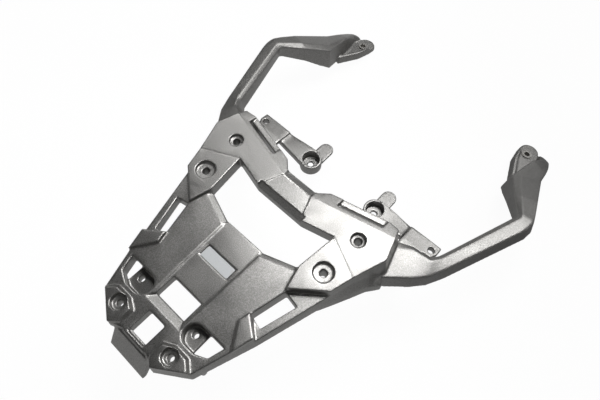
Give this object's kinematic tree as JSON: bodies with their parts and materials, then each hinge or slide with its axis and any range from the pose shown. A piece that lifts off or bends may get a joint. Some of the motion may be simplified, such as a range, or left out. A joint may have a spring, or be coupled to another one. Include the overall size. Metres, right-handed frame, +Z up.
{
  "type": "motorcycle luggage rack",
  "caption": "Cast motorcycle rear luggage rack: a tapering deck with raised load pads, strap slots and cut-outs, a grab handle on each side and two front mounting legs.",
  "frame": {"origin": "midway between the two front load bolt holes, on the plane of the raised pads", "axes": "+X to the motorcycle's right, +Y to its front, +Z up"},
  "size_m": [0.465, 0.6217, 0.1686],
  "materials": {
    "rack_casting": "silver-grey powder coat on cast aluminium",
    "blank_label": "plain pale film",
    "bush_right": "turned, bare",
    "bush_left": "turned, bare"
  },
  "bodies": {
    "root": {"rack_casting": "rack_casting", "blank_label": "blank_label", "bush_right": "bush_right", "bush_left": "bush_left"}
  },
  "joints": []
}
